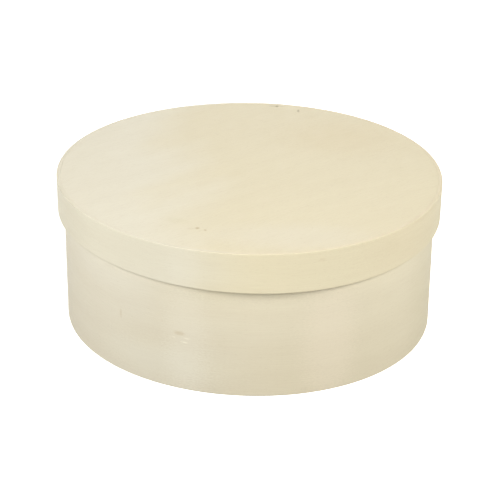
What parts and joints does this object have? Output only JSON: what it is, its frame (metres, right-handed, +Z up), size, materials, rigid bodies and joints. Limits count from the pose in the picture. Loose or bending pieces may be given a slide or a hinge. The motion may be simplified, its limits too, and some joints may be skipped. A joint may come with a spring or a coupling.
{
  "type": "flower box",
  "caption": "Round bentwood box with a lift-off lid, for flower arrangements, gifts or keepsakes; bare pale poplar bands lapped at the rear.",
  "frame": {"origin": "middle of the underside, on the box's round axis, at the level that it stands on", "axes": "+Z up along the round axis, out through the lid; +Y to the rear, where both bands are lapped; +X to the right seen from the front"},
  "size_m": [0.207, 0.2073, 0.081],
  "materials": {
    "wall_veneer": "bare sanded poplar, grain along the band",
    "rim_veneer": "bare sanded poplar, grain along the band",
    "base_plywood": "bare sanded poplar plywood",
    "lid_plywood": "bare sanded poplar plywood",
    "wood_glue": "dried wood glue, slightly yellow",
    "staple_wire": "galvanised flat wire"
  },
  "bodies": {
    "box": {"wall_band": "wall_veneer", "base_panel": "base_plywood", "base_glue_bead": "wood_glue", "wall_staples": "staple_wire"},
    "lid": {"lid_rim": "rim_veneer", "lid_panel": "lid_plywood", "lid_glue_bead": "wood_glue", "rim_staples": "staple_wire"}
  },
  "joints": [
    {"name": "lid_lift", "type": "slide", "parent": "box", "child": "lid", "axis": [0, 0, 1], "range_m": [0, 0.1]}
  ]
}
